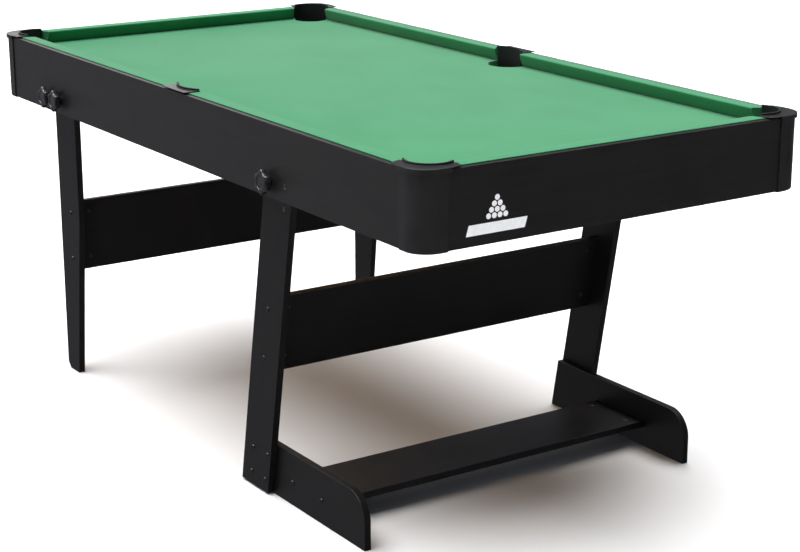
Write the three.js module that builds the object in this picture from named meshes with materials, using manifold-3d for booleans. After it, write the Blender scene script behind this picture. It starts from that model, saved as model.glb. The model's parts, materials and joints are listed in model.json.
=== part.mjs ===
// Folding pool table. A cabinet with a cloth-covered bed, six cushions and six drop pockets hangs on
// star-knob bolts between two leg frames. The front frame leans back and stands on two long feet;
// the rear frame folds up under the bed, and then the cabinet tips upright on the front frame.
// Units are millimetres. +X is the front end, +Z is up, the origin is on the floor under the middle.

import * as THREE from "three";
import { mergeVertices } from "three/addons/utils/BufferGeometryUtils.js";
import Module from "manifold-3d";

const wasm = await Module();
wasm.setup();

// ---------------------------------------------------------------- driving dimensions

const GAP = 0.3; // left between pieces that touch

const TABLE_LENGTH = 1840;
const TABLE_WIDTH = 915;
const RAIL_TOP = 810;
const BED_TOP = 780;
const APRON_BOTTOM = 660;
const APRON_THICKNESS = 18;
const BED_THICKNESS = 15;
const CLOTH_THICKNESS = 1.5;

const CORNER_RADIUS = 45;
const POST_REACH = 61; // corner to where a post meets an apron
const POST_PROUD = 2.5; // how far a corner post stands out from the aprons
const POST_WALL = 5;
const POST_DROP = 2; // how far a corner post hangs below the aprons

const RAIL_WIDTH = 43; // outer edge to cushion nose
const CUSHION_FLANGE = 6.5; // cushion top that laps over the apron
const CUSHION_FLANGE_THICKNESS = 2;
const CUSHION_UNDERCUT = 8.5;

const CORNER_POCKET_INSET = 65; // outer faces to pocket centre, both ways
const CORNER_POCKET_RADIUS = 44;
const SIDE_POCKET_INSET = 37.5;
const SIDE_POCKET_RADIUS = 50;
const SIDE_LINER_RADIUS = 74;
const SIDE_LINER_DEPTH = 21.5; // outer face to the deepest point of the side liner
const LINER_WALL = 2.5;
const CAP_THICKNESS = 2;
const SIDE_CAP_OVERHANG = 1;
const CORNER_CAP_OVERHANG = 6.5; // past the aprons
const CAP_SKIRT = 3.5; // thickness of the skirt that hangs round a corner post
const CAP_SKIRT_DROP = 6.5; // from the top of the rails
const LIP_WIDTH = 4;
const LIP_HEIGHT = 4;
const HOLE_SIDES = 16; // facets of a bolt hole or stud
const POCKET_SIDES = 24; // facets of a pocket opening or cup
const CORNER_CUP_BOTTOM = 690;
const SIDE_CUP_BOTTOM = 715;

const BEAM_X = [-760, -330, 190, 640];
const BEAM_WIDTH = 30;
const BEAM_HEIGHT = 28;
const BATTEN_LENGTH = 660;
const BATTEN_WIDTH = 18;

const PIVOT_Z = 692.5;
const FRONT_PIVOT_X = 399;
const REAR_PIVOT_X = -594;
const REAR_LOCK_X = -653.5;
const UPRIGHT_LOCK = { x: 458.5, z: 692.5 }; // spare apron hole that takes a lock knob when upright
const UPRIGHT_ANGLE = 80;

const LEG_SPACE = 7; // apron to leg, filled by a spacer at each pivot
const LEG_THICKNESS = 15;
const LEG_WIDTH = 107;
const FRONT_LEAN = 10.4; // degrees
const FRONT_LEG_OFFSET = -6.5; // pivot to the middle of the leg, across it
const FRONT_LEG_BOTTOM = 4;
const REAR_LEG_BACK = -680;
const REAR_LEG_TOP = 745;
const REAR_LEG_TAPER_Z = 394;
const REAR_FOOT_WIDTH = 62;
const REAR_LEG_CHAMFER = 14;

const BOARD_THICKNESS = 15; // crossboards, feet and foot shelf
const FRONT_CROSSBOARD = { top: 262, height: 170, offset: -9.5 }; // along and across the leaning leg
const REAR_CROSSBOARD = { x: -620, bottom: 265, height: 173 };
const FOOT = { back: 212, front: 673, height: 114, nose: 56 };
const SHELF = { back: 376, front: 540, top: 58.6 };

const STUD_RADIUS = 4;
const HOLE_RADIUS = 4.5;
const SPACER_RADIUS = 15;
const KNOB = { radius: 23, lobe: 3, lobes: 6, hubRadius: 12, hubLength: 8, headLength: 14, bevel: 2 };
const STUD_DEPTH_IN_KNOB = 12;

// ---------------------------------------------------------------- derived places

const END = TABLE_LENGTH / 2;
const SIDE = TABLE_WIDTH / 2;
const CUSHION_TOP = RAIL_TOP;
const APRON_TOP = CUSHION_TOP - CUSHION_FLANGE_THICKNESS - GAP;
const BED_BOARD_TOP = BED_TOP - CLOTH_THICKNESS - GAP;
const BED_BOTTOM = BED_BOARD_TOP - BED_THICKNESS;
const UNDER_BED = BED_BOTTOM - GAP;
const CAP_BOTTOM = RAIL_TOP + GAP;
const CAP_TOP = CAP_BOTTOM + CAP_THICKNESS;
const LEG_OUTER = SIDE - APRON_THICKNESS - LEG_SPACE;
const LEG_INNER = LEG_OUTER - LEG_THICKNESS;
const FOOT_OUTER = LEG_INNER - GAP;
const FOOT_INNER = FOOT_OUTER - BOARD_THICKNESS;
const CORNER_MOUTH = { back: 91, nose: 103 }; // cushion ends, measured from the corner along the rail
const SIDE_MOUTH = { back: 44, nose: 50 }; // cushion ends, measured from the middle of the side
const radians = THREE.MathUtils.degToRad;

// The four corners in turn; each is turned so that its local +X and +Y point into the table.
const CORNERS = [
  { name: "rear_left", x: -END, y: -SIDE, turn: 0 },
  { name: "front_left", x: END, y: -SIDE, turn: 90 },
  { name: "front_right", x: END, y: SIDE, turn: 180 },
  { name: "rear_right", x: -END, y: SIDE, turn: 270 },
];

// The four rails; local +X runs along the rail and local +Y points into the table.
const RAILS = {
  left: { x: 0, y: -SIDE, turn: 0 },
  front: { x: END, y: 0, turn: 90 },
  right: { x: 0, y: SIDE, turn: 180 },
  rear: { x: -END, y: 0, turn: 270 },
};
const SIDES = { left: -1, right: 1 };

// ---------------------------------------------------------------- materials

const finish = (color, roughness, metalness = 0) =>
  new THREE.MeshStandardMaterial({ color, roughness, metalness });

const MATERIALS = {
  laminate: () => finish(0x1b1a1c, 0.45),
  mdf: () => finish(0xa88a63, 0.85),
  cloth: () => finish(0x3f9f68, 0.95),
  plastic: () => finish(0x161617, 0.4),
  steel: () => finish(0xb9bcc0, 0.3, 1),
  nylon: () => finish(0x2a2a2b, 0.6),
};

// ---------------------------------------------------------------- geometry helpers

const point = (x, y) => new THREE.Vector2(x, y);

/** Points on a circular arc, angles in degrees. */
function arc(x, y, radius, from, to, steps) {
  const points = [];
  for (let i = 0; i <= steps; i += 1) {
    const angle = radians(from + ((to - from) * i) / steps);
    points.push(point(x + radius * Math.cos(angle), y + radius * Math.sin(angle)));
  }
  return points;
}

/** A full circle as a closed outline, without its repeated last point. */
const circle = (x, y, radius, sides) => arc(x, y, radius, 0, 360 - 360 / sides, sides - 1);

/** An outline drawn on the floor plan, raised from one height to another. */
function raised(outline, bottom, top) {
  const geometry = new THREE.ExtrudeGeometry(new THREE.Shape(outline), {
    depth: top - bottom,
    bevelEnabled: false,
  });
  return geometry.translate(0, 0, bottom);
}

/** A board cut from an outline in the XZ plane, with round holes, from y = 0 to y = thickness. */
function board(outline, thickness, holes = []) {
  const shape = new THREE.Shape(outline);
  for (const hole of holes) {
    shape.holes.push(new THREE.Path(circle(hole.x, hole.z, HOLE_RADIUS, HOLE_SIDES)));
  }
  const geometry = new THREE.ExtrudeGeometry(shape, { depth: thickness, bevelEnabled: false });
  return geometry.rotateX(Math.PI / 2).translate(0, thickness, 0);
}

/** Part of a flat ring in the floor plan. */
function ringSector(x, y, inner, outer, from, to, steps) {
  return [...arc(x, y, outer, from, to, steps), ...arc(x, y, inner, to, from, steps)];
}

const rectangle = (x0, y0, x1, y1) => [point(x0, y0), point(x1, y0), point(x1, y1), point(x0, y1)];

/** A round bar along Y from one place to another. */
function bar(radius, from, to, sides = HOLE_SIDES) {
  const geometry = new THREE.CylinderGeometry(radius, radius, to - from, sides);
  return geometry.translate(0, (from + to) / 2, 0);
}

function solid(geometry) {
  const bare = geometry.clone();
  bare.deleteAttribute("normal");
  bare.deleteAttribute("uv");
  const merged = mergeVertices(bare, 1e-4);
  return new wasm.Manifold(
    new wasm.Mesh({
      numProp: 3,
      vertProperties: new Float32Array(merged.attributes.position.array),
      triVerts: new Uint32Array(merged.index.array),
    }),
  );
}

function geometryOf(manifold) {
  const { vertProperties, triVerts } = manifold.getMesh();
  const geometry = new THREE.BufferGeometry();
  geometry.setAttribute("position", new THREE.BufferAttribute(vertProperties, 3));
  geometry.setIndex(new THREE.BufferAttribute(triVerts, 1));
  geometry.computeVertexNormals();
  return geometry;
}

const joined = (...parts) => geometryOf(parts.map(solid).reduce((sum, part) => sum.add(part)));
const cut = (body, ...tools) =>
  geometryOf(tools.reduce((left, tool) => left.subtract(solid(tool)), solid(body)));
const common = (a, b) => geometryOf(solid(a).intersect(solid(b)));

/** Moves a geometry from a corner's or rail's local frame to the table's frame. */
const inPlace = (geometry, place) =>
  geometry.clone().rotateZ(radians(place.turn)).translate(place.x, place.y, 0);

function piece(name, geometry, material) {
  const mesh = new THREE.Mesh(geometry, MATERIALS[material]());
  mesh.name = name;
  return mesh;
}

function groupAt(place, ...children) {
  const group = new THREE.Group();
  group.position.set(place.x, place.y, 0);
  group.rotation.z = radians(place.turn);
  group.add(...children);
  return group;
}

// ---------------------------------------------------------------- aprons and corner posts

const PIVOT_HOLES = [
  { x: FRONT_PIVOT_X, z: PIVOT_Z },
  UPRIGHT_LOCK,
  { x: REAR_PIVOT_X, z: PIVOT_Z },
  { x: REAR_LOCK_X, z: PIVOT_Z },
];

function sideApron(side) {
  const reach = END - POST_REACH - GAP;
  const outline = rectangle(-reach, APRON_BOTTOM, reach, APRON_TOP);
  const mesh = piece(`side_apron_${side}`, board(outline, APRON_THICKNESS, PIVOT_HOLES), "laminate");
  mesh.position.y = SIDES[side] > 0 ? SIDE - APRON_THICKNESS : -SIDE;
  return mesh;
}

function endApron(end) {
  const length = TABLE_WIDTH - 2 * (POST_REACH + GAP);
  const height = APRON_TOP - APRON_BOTTOM;
  const geometry = new THREE.BoxGeometry(length, APRON_THICKNESS, height);
  const mesh = piece(`end_apron_${end}`, geometry, "laminate");
  mesh.position.set(0, APRON_THICKNESS / 2, APRON_BOTTOM + height / 2);
  return groupAt(RAILS[end], mesh);
}

/** A band round a corner, between two distances outside the apron faces. */
function cornerBand(reach, inner, outer, steps = 10) {
  const r = CORNER_RADIUS;
  return [
    point(reach, -outer),
    ...arc(r, r, r + outer, 270, 180, steps),
    point(-outer, reach),
    point(-inner, reach),
    ...arc(r, r, r + inner, 180, 270, steps),
    point(reach, -inner),
  ];
}

/** A rounded shell with a rib at each end that the aprons screw to. */
function cornerPost(corner) {
  const bottom = APRON_BOTTOM - POST_DROP;
  const ribDepth = 15.5;
  const ribWidth = 6;
  const shell = cornerBand(POST_REACH, POST_PROUD - POST_WALL, POST_PROUD);
  const rib = rectangle(POST_REACH - ribWidth, 1, POST_REACH, ribDepth);
  const otherRib = rib.map((p) => point(p.y, p.x));
  const parts = [shell, rib, otherRib].map((outline) => raised(outline, bottom, RAIL_TOP));
  return piece(`corner_post_${corner.name}`, joined(...parts), "plastic");
}

// ---------------------------------------------------------------- bed

const CORNER_NOTCH = [
  point(-5, -5),
  point(93, -5),
  point(93, 31),
  point(CORNER_POCKET_INSET, CORNER_POCKET_INSET),
  point(31, 93),
  point(-5, 93),
];

/** The bed's outline with the six pocket openings, as a sheet between two heights. */
function bedSheet(edge, bottom, top) {
  const outline = rectangle(-END + edge, -SIDE + edge, END - edge, SIDE - edge);
  const low = bottom - 1;
  const high = top + 1;
  const inset = CORNER_POCKET_INSET;
  const cornerHole = raised(circle(inset, inset, CORNER_POCKET_RADIUS, POCKET_SIDES), low, high);
  const notch = raised(CORNER_NOTCH, low, high);
  const sideRound = circle(0, SIDE_POCKET_INSET, SIDE_POCKET_RADIUS, POCKET_SIDES);
  const sideHole = raised(sideRound, low, high);
  const tools = [];
  for (const corner of CORNERS) {
    tools.push(inPlace(cornerHole, corner), inPlace(notch, corner));
  }
  for (const side of Object.keys(SIDES)) {
    tools.push(inPlace(sideHole, RAILS[side]));
  }
  return cut(raised(outline, bottom, top), ...tools);
}

function bed() {
  const boardEdge = APRON_THICKNESS + GAP;
  const clothEdge = boardEdge + 1;
  return [
    piece("bed_board", bedSheet(boardEdge, BED_BOTTOM, BED_BOARD_TOP), "mdf"),
    piece("bed_cloth", bedSheet(clothEdge, BED_TOP - CLOTH_THICKNESS, BED_TOP), "cloth"),
  ];
}

function bedBeams() {
  const length = TABLE_WIDTH - 2 * (APRON_THICKNESS + GAP);
  return BEAM_X.map((x, i) => {
    const geometry = new THREE.BoxGeometry(BEAM_WIDTH, length, BEAM_HEIGHT);
    const mesh = piece(`bed_beam_${i + 1}`, geometry, "mdf");
    mesh.position.set(x, 0, UNDER_BED - BEAM_HEIGHT / 2);
    return mesh;
  });
}

function endBatten(end) {
  const geometry = new THREE.BoxGeometry(BATTEN_LENGTH, BATTEN_WIDTH, BEAM_HEIGHT);
  const mesh = piece(`end_batten_${end}`, geometry, "mdf");
  const inset = APRON_THICKNESS + GAP + BATTEN_WIDTH / 2;
  mesh.position.set(0, inset, UNDER_BED - BEAM_HEIGHT / 2);
  return groupAt(RAILS[end], mesh);
}

// ---------------------------------------------------------------- cushions

/** Section across the rail: distance from the outer edge, height. */
function cushionSection() {
  const back = APRON_THICKNESS + GAP;
  const flange = APRON_THICKNESS - CUSHION_FLANGE;
  const flangeBottom = CUSHION_TOP - CUSHION_FLANGE_THICKNESS;
  const bottom = BED_TOP + GAP;
  return [
    point(back, bottom),
    point(RAIL_WIDTH - CUSHION_UNDERCUT, bottom),
    point(RAIL_WIDTH, CUSHION_TOP - 4),
    point(RAIL_WIDTH, CUSHION_TOP - 1.5),
    point(RAIL_WIDTH - 1.5, CUSHION_TOP),
    point(flange, CUSHION_TOP),
    point(flange, flangeBottom),
    point(back, flangeBottom),
  ];
}

/** A cushion between two slanted ends; each end is { back, nose } along the rail. */
function cushion(name, start, finishEnd) {
  const margin = 40;
  const from = Math.min(start.back, start.nose) - margin;
  const to = Math.max(finishEnd.back, finishEnd.nose) + margin;
  const section = new THREE.ExtrudeGeometry(new THREE.Shape(cushionSection()), {
    depth: to - from,
    bevelEnabled: false,
  });
  // The section lies in local YZ and runs along local X.
  section.rotateX(Math.PI / 2).rotateZ(Math.PI / 2).translate(from, 0, 0);
  const back = APRON_THICKNESS;
  const at = (end, across) =>
    end.back + ((end.nose - end.back) * (across - back)) / (RAIL_WIDTH - back);
  const plan = [0, RAIL_WIDTH + 2].map((across) => [at(start, across), at(finishEnd, across), across]);
  const outline = [
    point(plan[0][0], plan[0][2]),
    point(plan[0][1], plan[0][2]),
    point(plan[1][1], plan[1][2]),
    point(plan[1][0], plan[1][2]),
  ];
  return piece(name, common(section, raised(outline, BED_TOP - 5, CUSHION_TOP + 5)), "cloth");
}

function cushions() {
  const nearCorner = (half) => ({ back: half - CORNER_MOUTH.back, nose: half - CORNER_MOUTH.nose });
  const mirrored = (end) => ({ back: -end.back, nose: -end.nose });
  const groups = [];
  for (const [side, sign] of Object.entries(SIDES)) {
    const corner = nearCorner(END);
    // Local +X runs to the front on the left rail and to the rear on the right rail.
    const [plus, minus] = sign < 0 ? ["front", "rear"] : ["rear", "front"];
    groups.push(
      groupAt(
        RAILS[side],
        cushion(`cushion_${side}_${plus}`, SIDE_MOUTH, corner),
        cushion(`cushion_${side}_${minus}`, mirrored(corner), mirrored(SIDE_MOUTH)),
      ),
    );
  }
  for (const end of ["front", "rear"]) {
    const corner = nearCorner(SIDE);
    groups.push(groupAt(RAILS[end], cushion(`cushion_${end}`, mirrored(corner), corner)));
  }
  return groups;
}

// ---------------------------------------------------------------- pockets

/** Cap plate, skirt, raised lip and liner wall of a corner pocket, moulded in one. */
function cornerCap(corner) {
  const inset = CORNER_POCKET_INSET;
  const radius = CORNER_POCKET_RADIUS;
  const tail = 89;
  const ear = { along: 95, across: 20.5 };
  const rim = CORNER_CAP_OVERHANG;
  const rimEnd = POST_REACH + 3;
  const [from, to] = [146, 304];
  const plate = [
    point(tail, -SIDE_CAP_OVERHANG),
    point(rimEnd, -rim),
    ...arc(CORNER_RADIUS, CORNER_RADIUS, CORNER_RADIUS + rim, 270, 180, 10),
    point(-rim, rimEnd),
    point(-SIDE_CAP_OVERHANG, tail),
    point(ear.across, ear.along),
    ...arc(inset, inset, radius, from, to, 16),
    point(ear.along, ear.across),
  ];
  const lip = ringSector(inset, inset, radius, radius + LIP_WIDTH, from, to, 16);
  const wall = ringSector(inset, inset, radius, radius + LINER_WALL, from + 4, to - 4, 16);
  const parts = [
    raised(plate, CAP_BOTTOM, CAP_TOP),
    raised(cornerBand(rimEnd, rim - CAP_SKIRT, rim), RAIL_TOP - CAP_SKIRT_DROP, CAP_TOP - 0.5),
    raised(lip, CAP_TOP - 1, CAP_TOP + LIP_HEIGHT),
    raised(wall, BED_BOTTOM + 1, CAP_TOP - 0.5),
  ];
  return piece(`corner_cap_${corner.name}`, joined(...parts), "plastic");
}

/** A round drop cup under a corner opening. */
function cornerCup(corner) {
  const inner = CORNER_POCKET_RADIUS;
  const outer = inner + 2.3;
  const floor = CORNER_CUP_BOTTOM;
  const profile = [
    point(0, floor),
    point(outer - 10, floor),
    point(outer, floor + 12),
    point(outer, UNDER_BED),
    point(inner, UNDER_BED),
    point(inner, floor + 13),
    point(inner - 9, floor + 2.5),
    point(0, floor + 2.5),
  ];
  const geometry = new THREE.LatheGeometry(profile, POCKET_SIDES).rotateX(Math.PI / 2);
  const mesh = piece(`pocket_cup_${corner.name}`, geometry, "plastic");
  mesh.position.set(CORNER_POCKET_INSET, CORNER_POCKET_INSET, 0);
  return mesh;
}

/** Cap plate, raised lip and liner wall of a side pocket. */
function sideCap(side) {
  const centre = SIDE_LINER_DEPTH + SIDE_LINER_RADIUS;
  const radius = SIDE_LINER_RADIUS;
  const [from, to] = [-128.4, -51.6];
  const half = 50;
  const inner = arc(0, centre, radius, to, from, 12);
  const earDepth = inner[0].y;
  const plate = [
    point(-half, -SIDE_CAP_OVERHANG),
    point(half, -SIDE_CAP_OVERHANG),
    point(half, earDepth),
    ...inner,
    point(-half, earDepth),
  ];
  const lip = ringSector(0, centre, radius, radius + LIP_WIDTH, from, to, 12);
  const wall = ringSector(0, centre, radius, radius + LINER_WALL, from + 1.4, to - 1.4, 12);
  const parts = [
    raised(plate, CAP_BOTTOM, CAP_TOP),
    raised(lip, CAP_TOP - 1, CAP_TOP + LIP_HEIGHT),
    raised(wall, BED_BOTTOM + 1, CAP_TOP - 0.5),
  ];
  return piece(`side_cap_${side}`, joined(...parts), "plastic");
}

/** A drop cup under a side opening, flat where it meets the apron. */
function sideCup(side) {
  const flat = APRON_THICKNESS + 0.5;
  const shellOf = (radius, flatAt, bottom, top) => {
    const round = raised(circle(0, SIDE_POCKET_INSET, radius, POCKET_SIDES), bottom, top);
    const window = raised(rectangle(-80, flatAt, 80, 120), bottom - 5, top + 5);
    return common(round, window);
  };
  const outer = shellOf(SIDE_POCKET_RADIUS + 2, flat, SIDE_CUP_BOTTOM, UNDER_BED);
  const inner = shellOf(SIDE_POCKET_RADIUS - 0.5, flat + 2.5, SIDE_CUP_BOTTOM + 2.5, UNDER_BED + 5);
  return piece(`pocket_cup_${side}`, cut(outer, inner), "plastic");
}

// ---------------------------------------------------------------- knobs, studs and spacers

/** A star knob whose hub faces the apron; it is built along +Y, outwards. */
function starKnob(name) {
  const { radius, lobe, lobes, hubRadius, hubLength, headLength, bevel } = KNOB;
  const outline = [];
  const steps = lobes * 6;
  for (let i = 0; i < steps; i += 1) {
    const angle = (i / steps) * 2 * Math.PI;
    const reach = radius - bevel - lobe * Math.cos(lobes * angle);
    outline.push(point(reach * Math.cos(angle), reach * Math.sin(angle)));
  }
  const head = new THREE.ExtrudeGeometry(new THREE.Shape(outline), {
    depth: headLength - 2 * bevel,
    bevelSize: bevel,
    bevelThickness: bevel,
    bevelSegments: 1,
  });
  head.rotateX(Math.PI / 2).translate(0, hubLength + headLength - bevel, 0);
  const hub = bar(hubRadius, 0.5, hubLength + 2);
  const bore = bar(HOLE_RADIUS, -1, STUD_DEPTH_IN_KNOB + 1);
  return piece(name, cut(joined(head, hub), bore), "plastic");
}

/** Knob and stud on one side apron; the stud ends at the given distance from the table's middle. */
function knobAndStud(label, side, x, studEnd) {
  const reach = SIDE - studEnd;
  const stud = piece(`stud_${label}_${side}`, bar(STUD_RADIUS, -reach, STUD_DEPTH_IN_KNOB), "steel");
  const group = new THREE.Group();
  group.position.set(x, SIDES[side] * SIDE, PIVOT_Z);
  group.rotation.z = SIDES[side] > 0 ? 0 : Math.PI;
  group.add(starKnob(`knob_${label}_${side}`), stud);
  return group;
}

function knobs(side) {
  return [
    knobAndStud("front_pivot", side, FRONT_PIVOT_X, LEG_INNER + 1),
    knobAndStud("rear_pivot", side, REAR_PIVOT_X, LEG_INNER + 1),
    knobAndStud("rear_lock", side, REAR_LOCK_X, LEG_OUTER + GAP),
  ];
}

/** A washer that keeps a leg clear of the apron. */
function spacer(label, side, x) {
  const thickness = LEG_SPACE - 2 * GAP;
  const ring = cut(bar(SPACER_RADIUS, 0, thickness), bar(HOLE_RADIUS, -1, thickness + 1));
  const mesh = piece(`spacer_${label}_${side}`, ring, "nylon");
  const inner = LEG_OUTER + GAP;
  mesh.position.set(x, SIDES[side] > 0 ? inner : -inner - thickness, PIVOT_Z);
  return mesh;
}

// ---------------------------------------------------------------- front leg frame

/** Leg with a round head at its pivot, drawn along its own lean. */
function frontLeg(side) {
  const half = LEG_WIDTH / 2;
  const back = FRONT_LEG_OFFSET - half;
  const front = FRONT_LEG_OFFSET + half;
  const lean = radians(FRONT_LEAN);
  const bottomAt = (across) =>
    (FRONT_LEG_BOTTOM - PIVOT_Z + across * Math.sin(lean)) / Math.cos(lean);
  const outline = [
    point(back, bottomAt(back)),
    point(front, bottomAt(front)),
    ...arc(FRONT_LEG_OFFSET, 0, half, 0, 180, 20),
  ];
  const holes = [{ x: 0, z: 0 }, uprightLockInLeg()];
  const mesh = piece(`front_leg_${side}`, board(outline, LEG_THICKNESS, holes), "laminate");
  mesh.position.y = SIDES[side] > 0 ? LEG_INNER : -LEG_OUTER;
  return mesh;
}

/** Where the spare apron hole meets the leg once the cabinet stands upright. */
function uprightLockInLeg() {
  const turn = radians(UPRIGHT_ANGLE - FRONT_LEAN);
  const dx = UPRIGHT_LOCK.x - FRONT_PIVOT_X;
  const dz = UPRIGHT_LOCK.z - PIVOT_Z;
  return {
    x: dx * Math.cos(turn) + dz * Math.sin(turn),
    z: -dx * Math.sin(turn) + dz * Math.cos(turn),
  };
}

function frontCrossboard() {
  const { top, height, offset } = FRONT_CROSSBOARD;
  const geometry = new THREE.BoxGeometry(BOARD_THICKNESS, 2 * FOOT_OUTER, height);
  const mesh = piece("front_crossboard", geometry, "laminate");
  mesh.position.set(offset, 0, -top - height / 2);
  return mesh;
}

/** Long foot: slanted back edge, flat top and a rounded front. */
function frontFoot(side) {
  const { back, front, height, nose } = FOOT;
  const slant = height * Math.tan(radians(FRONT_LEAN));
  const outline = [
    point(back, 0),
    point(front, 0),
    ...arc(front - nose, height - nose, nose, 0, 90, 10),
    point(back + slant, height),
  ];
  const mesh = piece(`front_foot_${side}`, board(outline, BOARD_THICKNESS), "laminate");
  mesh.position.y = SIDES[side] > 0 ? FOOT_INNER : -FOOT_OUTER;
  return mesh;
}

function footShelf() {
  const depth = SHELF.front - SHELF.back;
  const geometry = new THREE.BoxGeometry(depth, 2 * (FOOT_INNER - GAP), BOARD_THICKNESS);
  const mesh = piece("foot_shelf", geometry, "laminate");
  mesh.position.set(SHELF.back + depth / 2, 0, SHELF.top - BOARD_THICKNESS / 2);
  return mesh;
}

function frontFrame() {
  const leaning = new THREE.Group();
  leaning.position.set(FRONT_PIVOT_X, 0, PIVOT_Z);
  leaning.rotation.y = radians(FRONT_LEAN);
  leaning.add(frontLeg("left"), frontLeg("right"), frontCrossboard());
  return [leaning, frontFoot("left"), frontFoot("right"), footShelf()];
}

// ---------------------------------------------------------------- rear leg frame

/** Leg with an upright back edge and a front edge that tapers to the foot. */
function rearLeg(side) {
  const back = REAR_LEG_BACK;
  const front = back + LEG_WIDTH;
  const outline = [
    point(back + REAR_LEG_CHAMFER, 0),
    point(back + REAR_FOOT_WIDTH, 0),
    point(front, REAR_LEG_TAPER_Z),
    point(front, REAR_LEG_TOP - 15),
    point(front - 15, REAR_LEG_TOP),
    point(back + 15, REAR_LEG_TOP),
    point(back, REAR_LEG_TOP - 15),
    point(back, REAR_LEG_CHAMFER),
  ];
  const holes = [REAR_PIVOT_X, REAR_LOCK_X].map((x) => ({ x, z: PIVOT_Z }));
  const mesh = piece(`rear_leg_${side}`, board(outline, LEG_THICKNESS, holes), "laminate");
  mesh.position.y = SIDES[side] > 0 ? LEG_INNER : -LEG_OUTER;
  return mesh;
}

function rearCrossboard() {
  const { x, bottom, height } = REAR_CROSSBOARD;
  const geometry = new THREE.BoxGeometry(BOARD_THICKNESS, 2 * FOOT_OUTER, height);
  const mesh = piece("rear_crossboard", geometry, "laminate");
  mesh.position.set(x, 0, bottom + height / 2);
  return mesh;
}

// ---------------------------------------------------------------- assembly

const table = new THREE.Group();
table.add(...bed(), ...bedBeams(), ...cushions(), ...frontFrame());
table.add(rearLeg("left"), rearLeg("right"), rearCrossboard());
for (const end of ["front", "rear"]) {
  table.add(endApron(end), endBatten(end));
}
for (const corner of CORNERS) {
  table.add(groupAt(corner, cornerPost(corner), cornerCap(corner), cornerCup(corner)));
}
for (const side of Object.keys(SIDES)) {
  table.add(sideApron(side), ...knobs(side));
  table.add(groupAt(RAILS[side], sideCap(side), sideCup(side)));
  table.add(spacer("front", side, FRONT_PIVOT_X), spacer("rear", side, REAR_PIVOT_X));
}

export default table;
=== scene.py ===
import json
import math

import bmesh
import bpy
from mathutils import Matrix, Vector
from mathutils.noise import noise


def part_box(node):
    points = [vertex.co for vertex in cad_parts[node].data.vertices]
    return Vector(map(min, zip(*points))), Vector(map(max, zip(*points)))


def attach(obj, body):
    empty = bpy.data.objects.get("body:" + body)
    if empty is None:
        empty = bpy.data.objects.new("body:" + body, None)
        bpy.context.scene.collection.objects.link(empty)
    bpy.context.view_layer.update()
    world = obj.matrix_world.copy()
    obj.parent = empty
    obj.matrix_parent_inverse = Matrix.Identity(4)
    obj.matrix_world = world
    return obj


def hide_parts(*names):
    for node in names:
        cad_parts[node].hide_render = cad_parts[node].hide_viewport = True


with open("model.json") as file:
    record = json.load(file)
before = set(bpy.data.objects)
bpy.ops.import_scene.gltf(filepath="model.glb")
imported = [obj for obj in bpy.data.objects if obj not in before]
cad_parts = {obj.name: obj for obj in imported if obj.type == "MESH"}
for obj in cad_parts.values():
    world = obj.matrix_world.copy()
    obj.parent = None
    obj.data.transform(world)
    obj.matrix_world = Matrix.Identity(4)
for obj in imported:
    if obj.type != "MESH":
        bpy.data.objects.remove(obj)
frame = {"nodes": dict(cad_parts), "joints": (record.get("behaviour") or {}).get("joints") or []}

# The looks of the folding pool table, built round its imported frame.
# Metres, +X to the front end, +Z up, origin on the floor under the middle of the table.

bpy.context.view_layer.update()

NODES = frame["nodes"]
JOINTS = {joint["name"]: joint for joint in frame["joints"]}

# ------------------------------------------------------------------ sizes, from the frame

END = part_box("end_apron_front")[1].x
APRON_LOW, APRON_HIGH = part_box("side_apron_right")
SIDE = APRON_HIGH.y
POST_LOW, POST_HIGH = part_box("corner_post_front_right")
POST_REACH = END - POST_LOW.x
POST_PROUD = POST_HIGH.x - END
POST_BOTTOM, POST_TOP = POST_LOW.z, POST_HIGH.z
CORNER_RADIUS = 0.045
RAIL_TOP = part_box("cushion_front")[1].z
BED_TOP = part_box("bed_cloth")[1].z
CLOTH_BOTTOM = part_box("bed_cloth")[0].z
BED_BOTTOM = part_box("bed_board")[0].z
CAP_LOW, CAP_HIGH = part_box("corner_cap_front_right")
LEG_LOW, LEG_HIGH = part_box("rear_leg_right")
FOOT_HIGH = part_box("front_foot_right")[1]
SHELF_LOW, SHELF_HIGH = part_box("foot_shelf")
REAR_BOARD_LOW, REAR_BOARD_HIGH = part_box("rear_crossboard")

APRON_THICKNESS = APRON_HIGH.y - APRON_LOW.y
POST_WALL = 0.005
POST_RIB = 0.0155
POST_TURN_IN = 0.0042
RIB_WIDTH = 0.006
RAIL_WIDTH = 0.043
CUSHION_FLANGE = 0.0115  # outer edge of the rail to the edge of its cloth
CUSHION_UNDERCUT = 0.0085
CUSHION_NOSE = 0.0028  # radius of the nose
CORNER_MOUTH = (0.091, 0.103)  # cushion end at the apron and at the nose, from the corner
SIDE_MOUTH = (0.044, 0.050)  # the same, from the middle of the side
CORNER_INSET = 0.065  # apron faces to the middle of a corner opening
CORNER_POCKET = 0.044  # radius of a corner opening
SIDE_INSET = 0.0375  # apron face to the middle of a side opening
SIDE_POCKET = 0.050  # radius of a side opening
SIDE_LINER = 0.074  # radius of a side cap's liner
SIDE_LINER_DEPTH = 0.0215  # apron face to the nearest point of the liner
BED_MARGIN = APRON_THICKNESS + 0.0013  # apron face to the edge of the bed cloth
CLOTH_LAP = 0.0011  # how far the turned-down cloth stands inside an opening's wall
CORNER_WALL_ARC = (140.5, -50.5)  # where the bed goes round an opening, in degrees
SIDE_WALL_ARC = (200, -20)
SIDE_CAP_OVERHANG = 0.001
CORNER_CAP_OVERHANG = CAP_HIGH.x - END
CAP_SKIRT = 0.0035
CAP_SKIRT_DROP = 0.0065
CAP_THICKNESS = 0.002
CAP_BOTTOM = RAIL_TOP + 0.0003
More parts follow.
